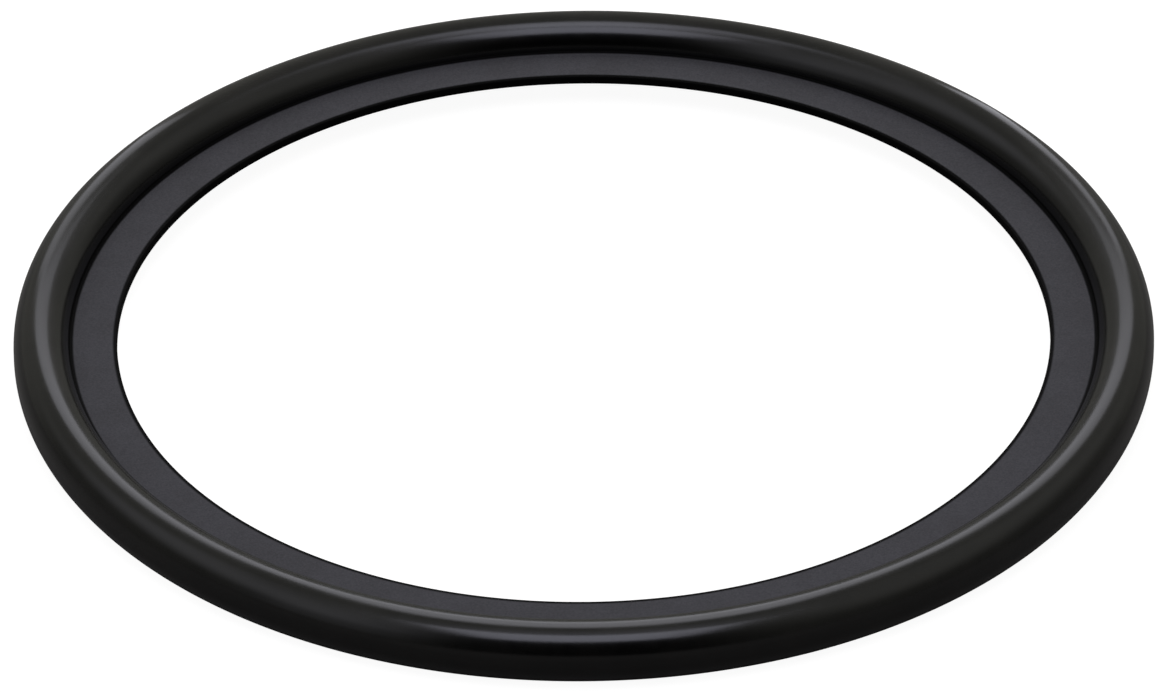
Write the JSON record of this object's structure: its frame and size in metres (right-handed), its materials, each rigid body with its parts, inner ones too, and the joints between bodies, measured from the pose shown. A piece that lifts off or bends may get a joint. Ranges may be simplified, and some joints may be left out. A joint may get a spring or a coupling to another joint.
{
  "type": "oil cooler seal",
  "caption": "Moulded rubber sealing ring: a round bead round the outside of a thin flat web with a wide open hole.",
  "frame": {"origin": "the ring's centre, midway through the web's thickness", "axes": "+Z along the ring's axis; X and Y are any two radii at right angles, since the ring is round"},
  "size_m": [0.077, 0.077, 0.0042],
  "materials": {
    "rubber": "satin on the bead, matt on the web"
  },
  "bodies": {
    "root": {"seal_ring": "rubber"}
  },
  "joints": []
}
